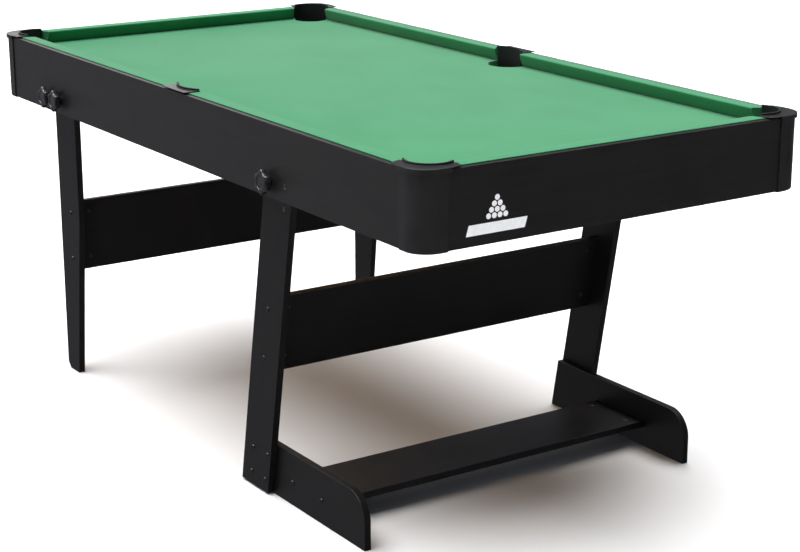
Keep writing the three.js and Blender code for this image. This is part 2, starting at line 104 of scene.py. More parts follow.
CAP_TOP = CAP_BOTTOM + CAP_THICKNESS
CAP_BURIED = 0.0005  # depth in the plate where skirt and wall end; the lip starts at twice that
LIP_WIDTH = 0.004
LINER_WALL = 0.0025
FRONT_LEG_LEAN = math.radians(10.4)
UPRIGHT_ANGLE = math.radians(80)
SPARE_HOLE_REACH = 0.0595  # front pivot to the spare holes of the upright position
NUT_INSET = 0.028  # from the outer face of the foot, or the shelf's end, to the barrel nuts
SHELF_SCREWS = (0.398, 0.5125)  # x of the screws into the foot shelf
REAR_SCREWS = (0.409, 0.295)  # height of the screws into the rear crossboard

CORNERS = {
    "rear_left": (-END, -SIDE, 0),
    "front_left": (END, -SIDE, 90),
    "front_right": (END, SIDE, 180),
    "rear_right": (-END, SIDE, 270),
}
RAILS = {
    "left": (0, -SIDE, 0),
    "front": (END, 0, 90),
    "right": (0, SIDE, 180),
    "rear": (-END, 0, 270),
}
SIDES = {"left": -1, "right": 1}


def placed(spot):
    """The turn and shift from a corner's or rail's own frame, whose +Y points into the table."""
    x, y, turn = spot
    return Matrix.Translation((x, y, 0)) @ Matrix.Rotation(math.radians(turn), 4, "Z")


def facing(place, direction):
    """A frame at place whose local +Z points along direction."""
    turn = Vector(direction).to_track_quat("Z", "Y").to_matrix().to_4x4()
    return Matrix.Translation(place) @ turn


# ------------------------------------------------------------------ material nodes


class Finish:
    """One Principled material, built node by node."""

    def __init__(self, name, **surface):
        self.material = bpy.data.materials.new(name)
        self.material.use_nodes = True
        self.tree = self.material.node_tree
        self.shader = self.tree.nodes["Principled BSDF"]
        for socket, value in surface.items():
            self.shader.inputs[socket.replace("_", " ")].default_value = value

    def node(self, kind, inputs=None, **settings):
        """A new node, with a value or another node's output for each input."""
        made = self.tree.nodes.new(kind)
        for key, value in settings.items():
            setattr(made, key, value)
        for socket, value in (inputs or {}).items():
            if isinstance(value, bpy.types.NodeSocket):
                self.tree.links.new(value, made.inputs[socket])
            else:
                made.inputs[socket].default_value = value
        return made

    def coordinates(self, scale=(1, 1, 1)):
        """The object's own coordinates; a larger scale makes a pattern finer along its axis."""
        place = self.node("ShaderNodeTexCoord").outputs["Object"]
        inputs = {"Vector": place, "Scale": scale}
        return self.node("ShaderNodeMapping", inputs).outputs["Vector"]

    def noise(self, at, scale, detail=3.0, roughness=0.55):
        """Cloudy noise from 0 to 1."""
        inputs = {"Vector": at, "Scale": scale, "Detail": detail, "Roughness": roughness}
        return self.node("ShaderNodeTexNoise", inputs).outputs["Fac"]

    def wave(self, at, scale, axis, distortion):
        """Soft bands across one axis, from 0 to 1."""
        inputs = {"Vector": at, "Scale": scale, "Distortion": distortion, "Detail": 1.0}
        made = self.node("ShaderNodeTexWave", inputs, bands_direction=axis)
        return made.outputs["Fac"]

    def spread(self, value, low, high, to_low=0.0, to_high=1.0):
        """The value's range from low to high, stretched to another range and cut off there."""
        inputs = {"Value": value, "From Min": low, "From Max": high}
        inputs.update({"To Min": to_low, "To Max": to_high})
        return self.node("ShaderNodeMapRange", inputs).outputs["Result"]

    def mixed(self, share, first, second):
        """A colour between two, each a colour or another node's output."""
        made = self.node("ShaderNodeMix", data_type="RGBA")
        for socket, value in ((0, share), (6, first), (7, second)):
            if isinstance(value, bpy.types.NodeSocket):
                self.tree.links.new(value, made.inputs[socket])
            elif socket:
                made.inputs[socket].default_value = (*value, 1.0)
            else:
                made.inputs[socket].default_value = value
        return made.outputs[2]

    def combined(self, first, second, operation="ADD"):
        """The sum of two values, or the result of another operation."""
        return self.node("ShaderNodeMath", {0: first, 1: second}, operation=operation).outputs[0]

    def bump(self, height, distance, strength=1.0, before=None):
        """A fine relief, on top of the one before if that is given."""
        inputs = {"Height": height, "Distance": distance, "Strength": strength}
        if before:
            inputs["Normal"] = before
        return self.node("ShaderNodeBump", inputs).outputs["Normal"]

    def wire(self, **sockets):
        """Links outputs to the shader's sockets, and returns the finished material."""
        for socket, value in sockets.items():
            self.tree.links.new(value, self.shader.inputs[socket.replace("_", " ")])
        return self.material


def black_laminate(axis, name="black_laminate", shine=0.38, depth=1.0):
    """Black foil on fibreboard: fine pores along the board, uneven gloss and faint scuffs."""

    def tone_of(*tone):
        return tuple(depth * channel for channel in tone)

    f = Finish(f"{name}_along_{axis}", Specular_IOR_Level=shine)
    along = {"x": (1, 34, 34), "y": (34, 1, 34), "z": (34, 34, 1)}[axis]
    grain = f.coordinates(along)
    pores = f.noise(grain, 38.0, 5.0, 0.65)
    streaks = f.noise(grain, 6.0, 3.0, 0.5)
    clouds = f.noise(f.coordinates(), 7.0, 3.0)
    scuffs = f.spread(f.noise(f.coordinates(), 26.0, 6.0, 0.75), 0.66, 0.78)
    dark, pale = tone_of(0.0074, 0.0068, 0.0068), tone_of(0.0115, 0.0104, 0.0102)
    tone = f.mixed(f.spread(streaks, 0.3, 0.7), dark, pale)
    tone = f.mixed(f.spread(clouds, 0.35, 0.7, 0.0, 0.35), tone, tone_of(0.0150, 0.0138, 0.0134))
    gloss = f.combined(f.spread(clouds, 0.3, 0.7, 0.36, 0.44), f.spread(scuffs, 0, 1, 0.0, 0.08))
    relief = f.bump(f.spread(pores, 0.35, 0.62), 0.00018, 0.25)
    return f.wire(Base_Color=tone, Roughness=gloss, Normal=relief)


def worn_edge():
    """Rounded board edges, where the foil thins and catches the light."""
    f = Finish("laminate_edge", Specular_IOR_Level=0.42)
    patches = f.spread(f.noise(f.coordinates(), 60.0, 5.0, 0.7), 0.4, 0.7)
    tone = f.mixed(patches, (0.009, 0.0088, 0.0090), (0.021, 0.0202, 0.0200))
    gloss = f.spread(patches, 0, 1, 0.34, 0.5)
    return f.wire(Base_Color=tone, Roughness=gloss)


def green_cloth(name="green_cloth", lift=1.0):
    """Napped green cloth: a fine plain weave under short fibres, slightly uneven in tone.

    A lift above 1 makes it paler, which paints a highlight, as on the cushions' folded edges.
    """

    def green(*tone):
        return tuple(min(0.8, lift * channel) for channel in tone)

    f = Finish(name, Sheen_Weight=0.95, Sheen_Roughness=0.28, Specular_IOR_Level=0.18)
    f.shader.inputs["Sheen Tint"].default_value = (1.0, 1.0, 1.0, 1.0)
    at = f.coordinates()
    warp = f.wave(at, 330.0, "X", 1.2)
    weft = f.wave(at, 330.0, "Y", 1.2)
    weave = f.combined(warp, weft, "MULTIPLY")
    fibres = f.noise(at, 1400.0, 4.0, 0.7)
    clouds = f.noise(at, 5.0, 4.0, 0.6)
    brushed = f.noise(f.coordinates((1, 9, 9)), 14.0, 3.0, 0.6)
    dark, light = green(0.036, 0.226, 0.096), green(0.050, 0.262, 0.118)
    tone = f.mixed(f.spread(clouds, 0.3, 0.7), dark, light)
    tone = f.mixed(f.spread(brushed, 0.35, 0.75, 0.0, 0.35), tone, green(0.060, 0.284, 0.134))
    tone = f.mixed(f.spread(fibres, 0.3, 0.7, 0.0, 0.30), tone, green(0.022, 0.168, 0.064))
    rough = f.spread(fibres, 0.3, 0.7, 0.82, 0.98)
    relief = f.bump(weave, 0.00012, 0.35)
    relief = f.bump(fibres, 0.00018, 0.4, relief)
    return f.wire(Base_Color=tone, Roughness=rough, Normal=relief)


def moulded_plastic(name, gloss, tone, shine=0.42):
    """Injection-moulded black plastic with a spark-eroded grain."""
    f = Finish(name, Specular_IOR_Level=shine)
    at = f.coordinates()
    grain = f.noise(at, 900.0, 3.0, 0.6)
    flow = f.noise(at, 22.0, 3.0, 0.6)
    light = tuple(1.5 * c for c in tone)
    colour = f.mixed(f.spread(flow, 0.35, 0.7), tone, light)
    rough = f.spread(flow, 0.3, 0.7, gloss - 0.05, gloss + 0.08)
    return f.wire(Base_Color=colour, Roughness=rough, Normal=f.bump(grain, 0.00012, 0.35))


def zinc_steel():
    """Zinc-plated steel with fine turning marks and a little dulling."""
    f = Finish("zinc_steel", Metallic=1.0)
    at = f.coordinates()
    marks = f.noise(at, 1600.0, 4.0, 0.7)
    dull = f.noise(at, 180.0, 4.0, 0.65)
    tone = f.mixed(f.spread(dull, 0.35, 0.7), (0.62, 0.63, 0.65), (0.42, 0.43, 0.45))
    rough = f.spread(dull, 0.3, 0.7, 0.22, 0.42)
    return f.wire(Base_Color=tone, Roughness=rough, Normal=f.bump(marks, 0.00005, 0.4))


def black_zinc():
    """Blackened screw heads, rubbed bright in places."""
    f = Finish("black_zinc", Metallic=1.0)
    rubbed = f.noise(f.coordinates(), 420.0, 4.0, 0.7)
    tone = f.mixed(f.spread(rubbed, 0.45, 0.75), (0.055, 0.055, 0.058), (0.30, 0.30, 0.31))
    rough = f.spread(rubbed, 0.3, 0.7, 0.30, 0.45)
    return f.wire(Base_Color=tone, Roughness=rough, Normal=f.bump(rubbed, 0.00005, 0.3))


def yellow_zinc():
    """Yellow passivated inserts."""
    f = Finish("yellow_zinc", Metallic=1.0)
    stain = f.noise(f.coordinates(), 300.0, 4.0, 0.7)
    tone = f.mixed(f.spread(stain, 0.35, 0.7), (0.72, 0.48, 0.20), (0.50, 0.34, 0.22))
    rough = f.spread(stain, 0.3, 0.7, 0.28, 0.42)
    return f.wire(Base_Color=tone, Roughness=rough, Normal=f.bump(stain, 0.00005, 0.3))


def bare_board():
    """Bare fibreboard: short pressed fibres in a pale brown."""
    f = Finish("bare_board", Specular_IOR_Level=0.25)
    at = f.coordinates()
    fibres = f.noise(f.coordinates((1, 3, 1)), 420.0, 5.0, 0.7)
    flecks = f.spread(f.noise(at, 900.0, 2.0), 0.62, 0.72)
    clouds = f.noise(at, 9.0, 3.0)
    tone = f.mixed(f.spread(clouds, 0.3, 0.7), (0.34, 0.225, 0.125), (0.43, 0.295, 0.17))
    tone = f.mixed(f.spread(fibres, 0.35, 0.7, 0.0, 0.5), tone, (0.52, 0.38, 0.24))
    tone = f.mixed(flecks, tone, (0.20, 0.12, 0.06))
    rough = f.spread(fibres, 0.3, 0.7, 0.75, 0.92)
    return f.wire(Base_Color=tone, Roughness=rough, Normal=f.bump(fibres, 0.0002, 0.5))


def black_nylon():
    """Nylon of the spacers, with a fine moulded grain."""
    f = Finish("black_nylon", Specular_IOR_Level=0.4)
    grain = f.noise(f.coordinates(), 700.0, 3.0)
    tone = f.mixed(f.spread(grain, 0.3, 0.7), (0.035, 0.035, 0.036), (0.055, 0.055, 0.056))
    rough = f.spread(grain, 0.3, 0.7, 0.5, 0.65)
    return f.wire(Base_Color=tone, Roughness=rough, Normal=f.bump(grain, 0.0001, 0.3))


def white_ink():
    """Screen-printed white ink, very slightly uneven."""
    f = Finish("white_ink", Specular_IOR_Level=0.4)
    cover = f.noise(f.coordinates(), 320.0, 4.0, 0.7)
    tone = f.mixed(f.spread(cover, 0.35, 0.75), (0.80, 0.81, 0.82), (0.66, 0.67, 0.68))
    rough = f.spread(cover, 0.3, 0.7, 0.38, 0.55)
    return f.wire(Base_Color=tone, Roughness=rough, Normal=f.bump(cover, 0.00004, 0.4))


LAMINATE = {axis: black_laminate(axis) for axis in "xyz"}
LEG_LAMINATE = {axis: black_laminate(axis, "leg_laminate", 0.22, 0.75) for axis in "xyz"}
EDGE = worn_edge()
CLOTH = green_cloth()
# A paler copy of the cloth: a painted highlight for the cushions' folded edges.
CLOTH_FOLD_HIGHLIGHT = green_cloth("cloth_fold_painted_highlight", 1.7)
PLASTIC = moulded_plastic("black_plastic", 0.34, (0.0095, 0.0092, 0.0094))
LINER_PLASTIC = moulded_plastic("liner_plastic", 0.55, (0.0050, 0.0050, 0.0052))
KNOB_PLASTIC = moulded_plastic("knob_plastic", 0.24, (0.0085, 0.0088, 0.0098), 0.62)
STEEL = zinc_steel()
SCREW_STEEL = black_zinc()
INSERT_STEEL = yellow_zinc()
BOARD = bare_board()
NYLON = black_nylon()
INK = white_ink()

# ------------------------------------------------------------------ mesh helpers


def arc(x, y, radius, start, stop, steps):
    """Points on an arc, angles in degrees."""
    angles = [math.radians(start + (stop - start) * i / steps) for i in range(steps + 1)]
    return [(x + radius * math.cos(a), y + radius * math.sin(a)) for a in angles]


def ring_sector(x, y, inner, outer, start, stop, steps):
    """The outline of part of a flat ring."""
    return arc(x, y, outer, start, stop, steps) + arc(x, y, inner, stop, start, steps)


def area_of(outline):
    """The area inside a closed outline, positive where it runs anticlockwise."""
    pairs = zip(outline, outline[1:] + outline[:1])
    return sum(a[0] * b[1] - b[0] * a[1] for a, b in pairs) / 2


def bridge(bm, rings):
    """Joins each closed ring of vertices to the next with a band of faces."""
    for lower, upper in zip(rings, rings[1:]):
        for i in range(len(lower)):
            j = (i + 1) % len(lower)
            bm.faces.new((lower[i], lower[j], upper[j], upper[i]))


def skinned(bm, rings):
    """A closed body through rings of vertices, with a flat face at each end."""
    bridge(bm, rings)
    bm.faces.new(rings[0][::-1])
    bm.faces.new(rings[-1])


def prism(bm, outline, low, high, place=Matrix.Identity(4)):
    """A closed outline in the plan, raised from one height to another."""
    if area_of(outline) < 0:
        outline = outline[::-1]
    rings = [[bm.verts.new(place @ Vector((x, y, z))) for x, y in outline] for z in (low, high)]
    bm.faces.new(rings[0][::-1])
    bm.faces.new(rings[1])
    bridge(bm, rings)


def turned(bm, levels, sides, place=Matrix.Identity(4)):
    """A closed body of rings along local +Z. A level is (radius or radius-by-angle, height)."""
    rings = []
    for radius, height in levels:
        ring = []
        for i in range(sides):
            a = 2 * math.pi * i / sides
            r = radius(a) if callable(radius) else radius
            ring.append(bm.verts.new(place @ Vector((r * math.cos(a), r * math.sin(a), height))))
        rings.append(ring)
    bridge(bm, rings)
    for ring, height, flip in ((rings[0], levels[0][1], True), (rings[-1], levels[-1][1], False)):
        middle = bm.verts.new(place @ Vector((0, 0, height)))
        for i in range(sides):
            j = (i + 1) % sides
            corner = (ring[j], ring[i]) if flip else (ring[i], ring[j])
            bm.faces.new((*corner, middle))


def lofted(bm, levels, place=Matrix.Identity(4)):
    """A closed body through outlines of equal length, each given with its height."""
    rings = []
    for outline, z in levels:
        rings.append([bm.verts.new(place @ Vector((x, y, z))) for x, y in outline])
    skinned(bm, rings)


def rounded(obj, width, segments=3, angle=35, material=-1):
    """Softens an object's edges, with a material of their own if its slot is given."""
    bevel = obj.modifiers.new("rounded_edges", "BEVEL")
    bevel.width = width
    bevel.segments = segments
    bevel.limit_method = "ANGLE"
    bevel.angle_limit = math.radians(angle)
    bevel.material = material


def mesh_object(name, bm, *materials):
    """An object from a bmesh, which is used up."""
    mesh = bpy.data.meshes.new(name)
    bmesh.ops.recalc_face_normals(bm, faces=bm.faces)
    bm.to_mesh(mesh)
    bm.free()
    for material in materials:
        mesh.materials.append(material)
    obj = bpy.data.objects.new(name, mesh)
    bpy.context.scene.collection.objects.link(obj)
    return obj


def shaded(obj, angle=38):
    """Smooth shading that keeps edges sharper than the angle."""
    for face in obj.data.polygons:
        face.use_smooth = True
    obj.data.set_sharp_from_angle(angle=math.radians(angle))


def piece(name, bm, material, body, nodes=(), edge=0.0, segments=3, sharp=38):
    """A finished piece that rides on a body and may stand for CAD nodes."""
    obj = mesh_object(name, bm, material)
    shaded(obj, sharp)
    if edge:
        rounded(obj, edge, segments)
    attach(obj, body)
    if nodes:
        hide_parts(*nodes)
    return obj


def fused(*solids):
    """One closed mesh from overlapping closed meshes, returned as a new bmesh."""
    parts = [mesh_object(f"part_{i}", bm) for i, bm in enumerate(solids)]
    for other in parts[1:]:
        union = parts[0].modifiers.new("union", "BOOLEAN")
        union.operation = "UNION"
        union.solver = "EXACT"
        union.object = other
    bpy.context.view_layer.update()
    graph = bpy.context.evaluated_depsgraph_get()
    joined = bmesh.new()
    joined.from_mesh(parts[0].evaluated_get(graph).to_mesh())
    near, level = 0.00003, math.radians(0.5)
    bmesh.ops.remove_doubles(joined, verts=joined.verts, dist=near)
    bmesh.ops.dissolve_limit(joined, angle_limit=level, verts=joined.verts, edges=joined.edges)
    for part in parts:
        bpy.data.objects.remove(part, do_unlink=True)
    return joined


def as_prism(outline, low, high):
    """A prism in a bmesh of its own."""
    bm = bmesh.new()
    prism(bm, outline, low, high)
    return bm


# ------------------------------------------------------------------ boards kept from CAD

BOARD_AXES = {
    "x": ["side_apron_left", "side_apron_right", "front_foot_left", "front_foot_right"],
    "y": ["end_apron_front", "end_apron_rear", "front_crossboard", "rear_crossboard", "foot_shelf"],
    "z": ["front_leg_left", "front_leg_right", "rear_leg_left", "rear_leg_right"],
}


def dress(node, material, edge=0.0, edge_material=None):
    """Gives a CAD node its finish, and rounds its edges once its flat faces are whole."""
    obj = NODES[node]
    obj.data.materials[0] = material
    if not edge:
        return
    weld = obj.modifiers.new("weld", "WELD")
    weld.merge_threshold = 0.00001
    flat = obj.modifiers.new("flat_faces", "DECIMATE")
    flat.decimate_type = "DISSOLVE"
    flat.angle_limit = math.radians(0.3)
    if edge_material:
        obj.data.materials.append(edge_material)
    rounded(obj, edge, 2, 35, 1 if edge_material else -1)


def boards():
    """Finishes the CAD boards, beams, battens and spacers, and rounds all but the bed board."""
    for axis, names in BOARD_AXES.items():
        for name in names:
            glossy = "apron" in name or name == "foot_shelf"
            laminate = LAMINATE if glossy else LEG_LAMINATE
            dress(name, laminate[axis], 0.0009, EDGE)
    dress("bed_board", BOARD)
    for name in NODES:
        if name.startswith(("bed_beam", "end_batten")):
            dress(name, BOARD, 0.0012)
        if name.startswith("spacer"):
            dress(name, NYLON, 0.0004)


# ------------------------------------------------------------------ corner posts


def corner_band(reach, inner, outer, steps=36):
    """A band round a corner, between two distances outside the apron faces."""
    r = CORNER_RADIUS
    return [
        (reach, -outer),
        *arc(r, r, r + outer, 270, 180, steps),
        (-outer, reach),
        (-inner, reach),
        *arc(r, r, r + inner, 180, 270, steps),
        (reach, -inner),
    ]


def post_outline(proud):
    """A corner post's section with its two screw ribs; proud is how far it stands out."""
    r, inner = CORNER_RADIUS, POST_PROUD - POST_WALL
    behind = POST_REACH - RIB_WIDTH
    return [
        (POST_REACH, -proud),
        *arc(r, r, r + proud, 270, 180, 40),
        (-proud, POST_REACH),
        (POST_RIB, POST_REACH),
        (POST_RIB, behind),
        (-inner, behind),
        *arc(r, r, r + inner, 180, 270, 40),
        (behind, -inner),
        (behind, POST_RIB),
        (POST_REACH, POST_RIB),
    ]


def corner_posts():
    """Smooth rounded shells, turned in along their lower edge."""
    levels = []
    for degrees in (0, 18, 36, 54, 72, 90):
        angle = math.radians(degrees)
        shrink = POST_TURN_IN * (1 - math.sin(angle))
        rise = POST_TURN_IN * (1 - math.cos(angle))
        levels.append((post_outline(POST_PROUD - shrink), POST_BOTTOM + rise))
    levels.append((post_outline(POST_PROUD), POST_TOP))
    for name, spot in CORNERS.items():
        bm = bmesh.new()
        lofted(bm, levels, placed(spot))
        node = f"corner_post_{name}"
        piece(f"post_{name}", bm, PLASTIC, "cabinet", [node], 0.0006, 2)


# ------------------------------------------------------------------ bed


def corner_cut():
    """The cloth's edge round a corner opening, in the corner's own frame."""
    reach = 0.093
    bend = arc(CORNER_INSET, CORNER_INSET, CORNER_POCKET - CLOTH_LAP, *CORNER_WALL_ARC, 40)
    return [(BED_MARGIN, reach), *bend, (reach, BED_MARGIN)]


def side_cut():
    """The cloth's edge round a side opening, in the rail's own frame."""
    radius = SIDE_POCKET - CLOTH_LAP
    dip = math.degrees(math.asin((BED_MARGIN - SIDE_INSET) / radius))
    return arc(0, SIDE_INSET, radius, 180 - dip, dip, 40)


def bed_outline():
    """The cloth's outline, anticlockwise from the rear left corner."""
    stretches = [
        (CORNERS["rear_left"], corner_cut()),
        (RAILS["left"], side_cut()),
        (CORNERS["front_left"], corner_cut()),
        (CORNERS["front_right"], corner_cut()),
        (RAILS["right"], side_cut()),
        (CORNERS["rear_right"], corner_cut()),
    ]
    outline = []
    for spot, points in stretches:
        place = placed(spot)
        for x, y in points:
            p = place @ Vector((x, y, 0))
            outline.append((p.x, p.y))
    return outline


def turned_edge(bm, centre, radius, wall_arc, place):
    """The strip of cloth stuck to the wall of one opening."""
    low, high = BED_BOTTOM + 0.0004, CLOTH_BOTTOM + 0.0003
    thickness = 0.0006
    inner = arc(*centre, radius, *wall_arc, 40)
    outer = arc(*centre, radius + thickness, *wall_arc, 40)
    rings = []
    for (x, y), (u, v) in zip(inner, outer):
        section = (x, y, low), (x, y, high), (u, v, high), (u, v, low)
        rings.append([bm.verts.new(place @ Vector(p)) for p in section])
    skinned(bm, rings)


def bed_cloth():
    """The stretched cloth, and its edge turned down into each opening."""
    bm = bmesh.new()
    middle, radius = (CORNER_INSET, CORNER_INSET), CORNER_POCKET - CLOTH_LAP
    for spot in CORNERS.values():
        turned_edge(bm, middle, radius, CORNER_WALL_ARC, placed(spot))
    middle, radius = (0, SIDE_INSET), SIDE_POCKET - CLOTH_LAP
    for side in SIDES:
        turned_edge(bm, middle, radius, SIDE_WALL_ARC, placed(RAILS[side]))
    edges = piece("cloth_turned_edges", bm, CLOTH, "cabinet")
    outline = bed_outline()
    bm = as_prism(outline, CLOTH_BOTTOM + 0.0002, BED_TOP)
    obj = piece("cloth_bed", bm, CLOTH, "cabinet", ["bed_cloth"], 0.0006, 2)
    area_of(outline)


# ------------------------------------------------------------------ cushions


def cushion_section():
    """Across the rail, distance from the outer edge and height, with the cloth drawn round it."""
    back = APRON_THICKNESS + 0.0004
    top = RAIL_TOP
    bottom = BED_TOP + 0.0004
    nose = arc(RAIL_WIDTH - CUSHION_NOSE, top - CUSHION_NOSE, CUSHION_NOSE, 90, -8, 7)
    foot = RAIL_WIDTH - CUSHION_UNDERCUT
    flat = RAIL_WIDTH - back - CUSHION_NOSE
    crown = [(back + share * flat, top) for share in (0.0, 0.35, 0.7)]
    return [
        (back, bottom),
        (back, top - 0.0022),
        (CUSHION_FLANGE, top - 0.0018),
        (CUSHION_FLANGE + 0.0002, top - 0.0006),
        (CUSHION_FLANGE + 0.0009, top - 0.0001),
        *crown,
        *nose,
        (RAIL_WIDTH - 0.0022, top - 0.0105),
        (RAIL_WIDTH - 0.0055, top - 0.0200),
        (foot, bottom + 0.0008),
        (foot - 0.0004, bottom + 0.0002),
        (foot - 0.0012, bottom),
    ]


def cushion(name, spot, start, stop):
    """A covered cushion; start and stop place its slanted ends, at the apron and at the nose."""
    section = cushion_section()
    steps = 90
    sag = 0.0002
    bm = bmesh.new()
    place = placed(spot)

    def along(end, across):
        share = (across - APRON_THICKNESS) / (RAIL_WIDTH - APRON_THICKNESS)
        return end[0] + (end[1] - end[0]) * share

    rings = []
    for i in range(steps + 1):
        share = i / steps
        ring = []
        for across, height in section:
            x = along(start, across) * (1 - share) + along(stop, across) * share
            p = place @ Vector((x, across, height))
            if across > APRON_THICKNESS + 0.004 and height > BED_TOP + 0.002:
                p.z -= sag * abs(noise(p * 11.0))
            ring.append(bm.verts.new(p))
        rings.append(ring)
    skinned(bm, rings)
    obj = piece(f"covered_{name}", bm, CLOTH, "cabinet", [name], sharp=50)
    # The rounded edges take the paler cloth, a painted highlight along the cushion's folds and cut
    # ends.
    obj.data.materials.append(CLOTH_FOLD_HIGHLIGHT)
    rounded(obj, 0.0012, 3, 55, 1)


def mirrored(end):
    """A cushion's end on the other half of its rail."""
    return tuple(-distance for distance in end)


def cushions():
    """Two cushions on each long rail and one on each short rail."""
    side_end = tuple(END - m for m in CORNER_MOUTH)
    short_end = tuple(SIDE - m for m in CORNER_MOUTH)
    for side, plus, minus in (("left", "front", "rear"), ("right", "rear", "front")):
        rail = RAILS[side]
        cushion(f"cushion_{side}_{plus}", rail, SIDE_MOUTH, side_end)
        cushion(f"cushion_{side}_{minus}", rail, mirrored(side_end), mirrored(SIDE_MOUTH))
    for end in ("front", "rear"):
        cushion(f"cushion_{end}", RAILS[end], mirrored(short_end), short_end)


# ------------------------------------------------------------------ pockets


def capped(name, bm, spot, middle, reach, node):
    """A pocket cap from a mesh in its own frame, matt on its lip and liner wall.

    Those lie within reach of the middle of the liner's arc.
    """
    for face in bm.faces:
        centre = face.calc_center_median()
        near = math.hypot(centre.x - middle[0], centre.y - middle[1]) < reach + 0.0005
        below = centre.z < CAP_BOTTOM - 0.001
        raised = centre.z > CAP_TOP + 0.0002
        upright = abs(face.normal.z) < 0.5
        face.material_index = int(near and (below or raised or upright))
    bmesh.ops.transform(bm, matrix=placed(spot), verts=bm.verts)
    obj = piece(name, bm, PLASTIC, "cabinet", [node], 0.0005, 2)
    obj.data.materials.append(LINER_PLASTIC)


def corner_caps():
    """Cap plate, skirt, raised lip and liner wall of the corner pockets."""
    r, c = CORNER_POCKET, CORNER_INSET
    rim = CORNER_CAP_OVERHANG
    rim_end = POST_REACH + 0.003
    tail, ear_tip, ear_base = 0.089, 0.095, 0.0205
    start, stop, steps = 146, 304, 96
    step = (stop - start) / steps
    plate = [
        (tail, -SIDE_CAP_OVERHANG),
        (rim_end, -rim),
        *arc(CORNER_RADIUS, CORNER_RADIUS, CORNER_RADIUS + rim, 270, 180, 36),
        (-rim, rim_end),
        (-SIDE_CAP_OVERHANG, tail),
        (ear_base, ear_tip),
        *arc(c, c, r, start, stop, steps),
        (ear_tip, ear_base),
    ]
    skirt = corner_band(rim_end, rim - CAP_SKIRT, rim)
    # Lip and wall use some of the plate arc's points, as near misses would leave slivers.
    lip_arc = start + step, stop - step, steps - 2
    wall_arc = start + 2 * step, stop - 2 * step, steps - 4
    lip = ring_sector(c, c, r, r + LIP_WIDTH, *lip_arc)
    wall = ring_sector(c, c, r, r + LINER_WALL, *wall_arc)
    for name, spot in CORNERS.items():
        bm = fused(
            as_prism(plate, CAP_BOTTOM, CAP_TOP),
            as_prism(skirt, RAIL_TOP - CAP_SKIRT_DROP, CAP_TOP - CAP_BURIED),
            as_prism(lip, CAP_TOP - 2 * CAP_BURIED, CAP_HIGH.z),
            as_prism(wall, CAP_LOW.z, CAP_TOP - CAP_BURIED),
        )
        capped(f"pocket_cap_{name}", bm, spot, (c, c), r + LIP_WIDTH, f"corner_cap_{name}")


def side_caps():
    """Cap plate, raised lip and liner wall of the side pockets."""
    r, middle = SIDE_LINER, (0, SIDE_LINER_DEPTH + SIDE_LINER)
    start, stop, steps = -128.4, -51.6, 32
    step = (stop - start) / steps
    bend = arc(*middle, r, stop, start, steps)
    half, ear, rim = 0.050, bend[0][1], SIDE_CAP_OVERHANG
    plate = [(-half, -rim), (half, -rim), (half, ear), *bend, (-half, ear)]
    lip = ring_sector(*middle, r, r + LIP_WIDTH, start, stop, steps)
    wall = ring_sector(*middle, r, r + LINER_WALL, start + step, stop - step, steps - 2)
    for side in SIDES:
        bm = fused(
            as_prism(plate, CAP_BOTTOM, CAP_TOP),
            as_prism(lip, CAP_TOP - 2 * CAP_BURIED, CAP_HIGH.z),
            as_prism(wall, CAP_LOW.z, CAP_TOP - CAP_BURIED),
        )
        reach = r + LIP_WIDTH
        capped(f"pocket_cap_{side}", bm, RAILS[side], middle, reach, f"side_cap_{side}")


def corner_cups():
    """Round drop cups with a rolled rim and a flat floor."""
    low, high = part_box("pocket_cup_front_right")
    outer = (high.x - low.x) / 2
    wall = 0.0021
    floor, rim = low.z, high.z
    levels = [
        (0.012, floor),
        (outer - 0.011, floor),
        (outer - 0.0065, floor + 0.0012),
        (outer - 0.0022, floor + 0.0045),
        (outer - 0.0004, floor + 0.0105),
        (outer - 0.0004, rim - 0.006),
        (outer, rim - 0.005),
        (outer, rim - 0.0004),
        (outer - 0.0005, rim),
        (outer - wall, rim),
        (outer - wall - 0.0002, rim - 0.0008),
        (outer - wall - 0.0003, floor + 0.0115),
        (outer - wall - 0.0022, floor + 0.0060),
        (outer - wall - 0.0070, floor + 0.0031),
        (outer - wall - 0.0120, floor + 0.0024),
        (0.012, floor + 0.0024),
    ]
    middle = Matrix.Translation((CORNER_INSET, CORNER_INSET, 0))
    for name, spot in CORNERS.items():
        bm = bmesh.new()
        turned(bm, levels, 72, placed(spot) @ middle)
        node = f"pocket_cup_{name}"
        piece(f"drop_cup_{name}", bm, PLASTIC, "cabinet", [node])


def side_cups():
    """Drop cups with one flat side, against the apron."""
    low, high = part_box("pocket_cup_right")
    outer = (high.x - low.x) / 2
    flat = SIDE - high.y
    wall = 0.0025

    def outline(radius, flat_at):
        dip = math.degrees(math.asin((flat_at - SIDE_INSET) / radius))
        return arc(0, SIDE_INSET, radius, dip, 180 - dip, 64)

    levels = [
        (outline(outer - 0.004, flat + 0.002), low.z),
        (outline(outer - 0.001, flat + 0.0006), low.z + 0.0015),
        (outline(outer, flat), low.z + 0.005),
        (outline(outer, flat), high.z),
        (outline(outer - wall, flat + wall), high.z),
        (outline(outer - wall, flat + wall), low.z + 0.006),
        (outline(outer - 2 * wall, flat + 0.0040), low.z + 0.0026),
    ]
    for side in SIDES:
        bm = bmesh.new()
        lofted(bm, levels, placed(RAILS[side]))
        node = f"pocket_cup_{side}"
        piece(f"drop_cup_{side}", bm, PLASTIC, "cabinet", [node])


# ------------------------------------------------------------------ knobs and studs


def lobed(scale):
    """Radius of the knob's six-lobed outline, by angle, with a lobe straight up."""
    return lambda a: scale * (0.0228 - 0.0029 * math.cos(6 * a) + 0.0003 * math.cos(12 * a))


